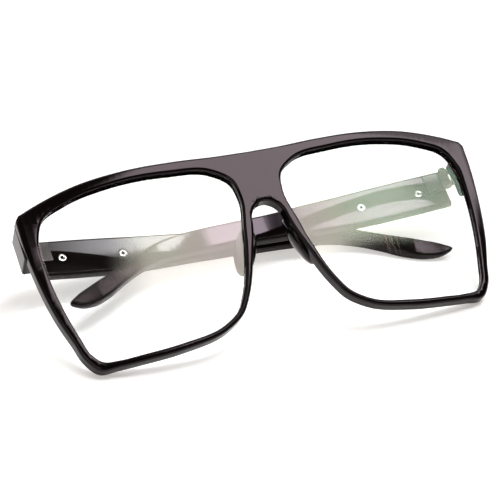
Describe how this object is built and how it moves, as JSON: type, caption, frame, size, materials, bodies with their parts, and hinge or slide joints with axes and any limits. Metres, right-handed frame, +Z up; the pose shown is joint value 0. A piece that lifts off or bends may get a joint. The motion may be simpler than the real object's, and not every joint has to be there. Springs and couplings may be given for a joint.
{
  "type": "clear lens glasses",
  "caption": "Full-rim clear lens glasses with a glossy black plastic front and temples that fold flat behind the lenses on steel hinges.",
  "frame": {"origin": "middle of the bounding box at its base, on the surface the folded glasses lie on", "axes": "+X runs along the front from the wearer's right to the wearer's left, +Y points from the lower rims to the brow, along the surface, and +Z is up. The front leans back, with its outer faces turned to -Y and +Z."},
  "size_m": [0.1502, 0.057, 0.0415],
  "materials": {
    "black_plastic": "polished opaque black",
    "clear_lens": "clear, polished, with a faint surface reflection",
    "steel": "bright satin steel"
  },
  "bodies": {
    "front": {"front_frame": "black_plastic", "left_lens": "clear_lens", "left_front_hinge_leaf": "steel", "left_hinge_screw": "steel", "right_lens": "clear_lens", "right_front_hinge_leaf": "steel", "right_hinge_screw": "steel"},
    "left_arm": {"left_temple": "black_plastic", "left_temple_hinge_leaf": "steel", "left_front_rivet": "steel", "left_rear_rivet": "steel"},
    "right_arm": {"right_temple": "black_plastic", "right_temple_hinge_leaf": "steel", "right_front_rivet": "steel", "right_rear_rivet": "steel"}
  },
  "joints": [
    {"name": "left_temple_hinge", "type": "hinge", "parent": "front", "child": "left_arm", "pos_m": [0.07, 0.01908, 0.017], "axis": [0, -0.9078, -0.4195], "range_deg": [0, 89]},
    {"name": "right_temple_hinge", "type": "hinge", "parent": "front", "child": "right_arm", "pos_m": [-0.07, 0.01908, 0.017], "axis": [0, 0.9078, 0.4195], "range_deg": [0, 85]}
  ]
}
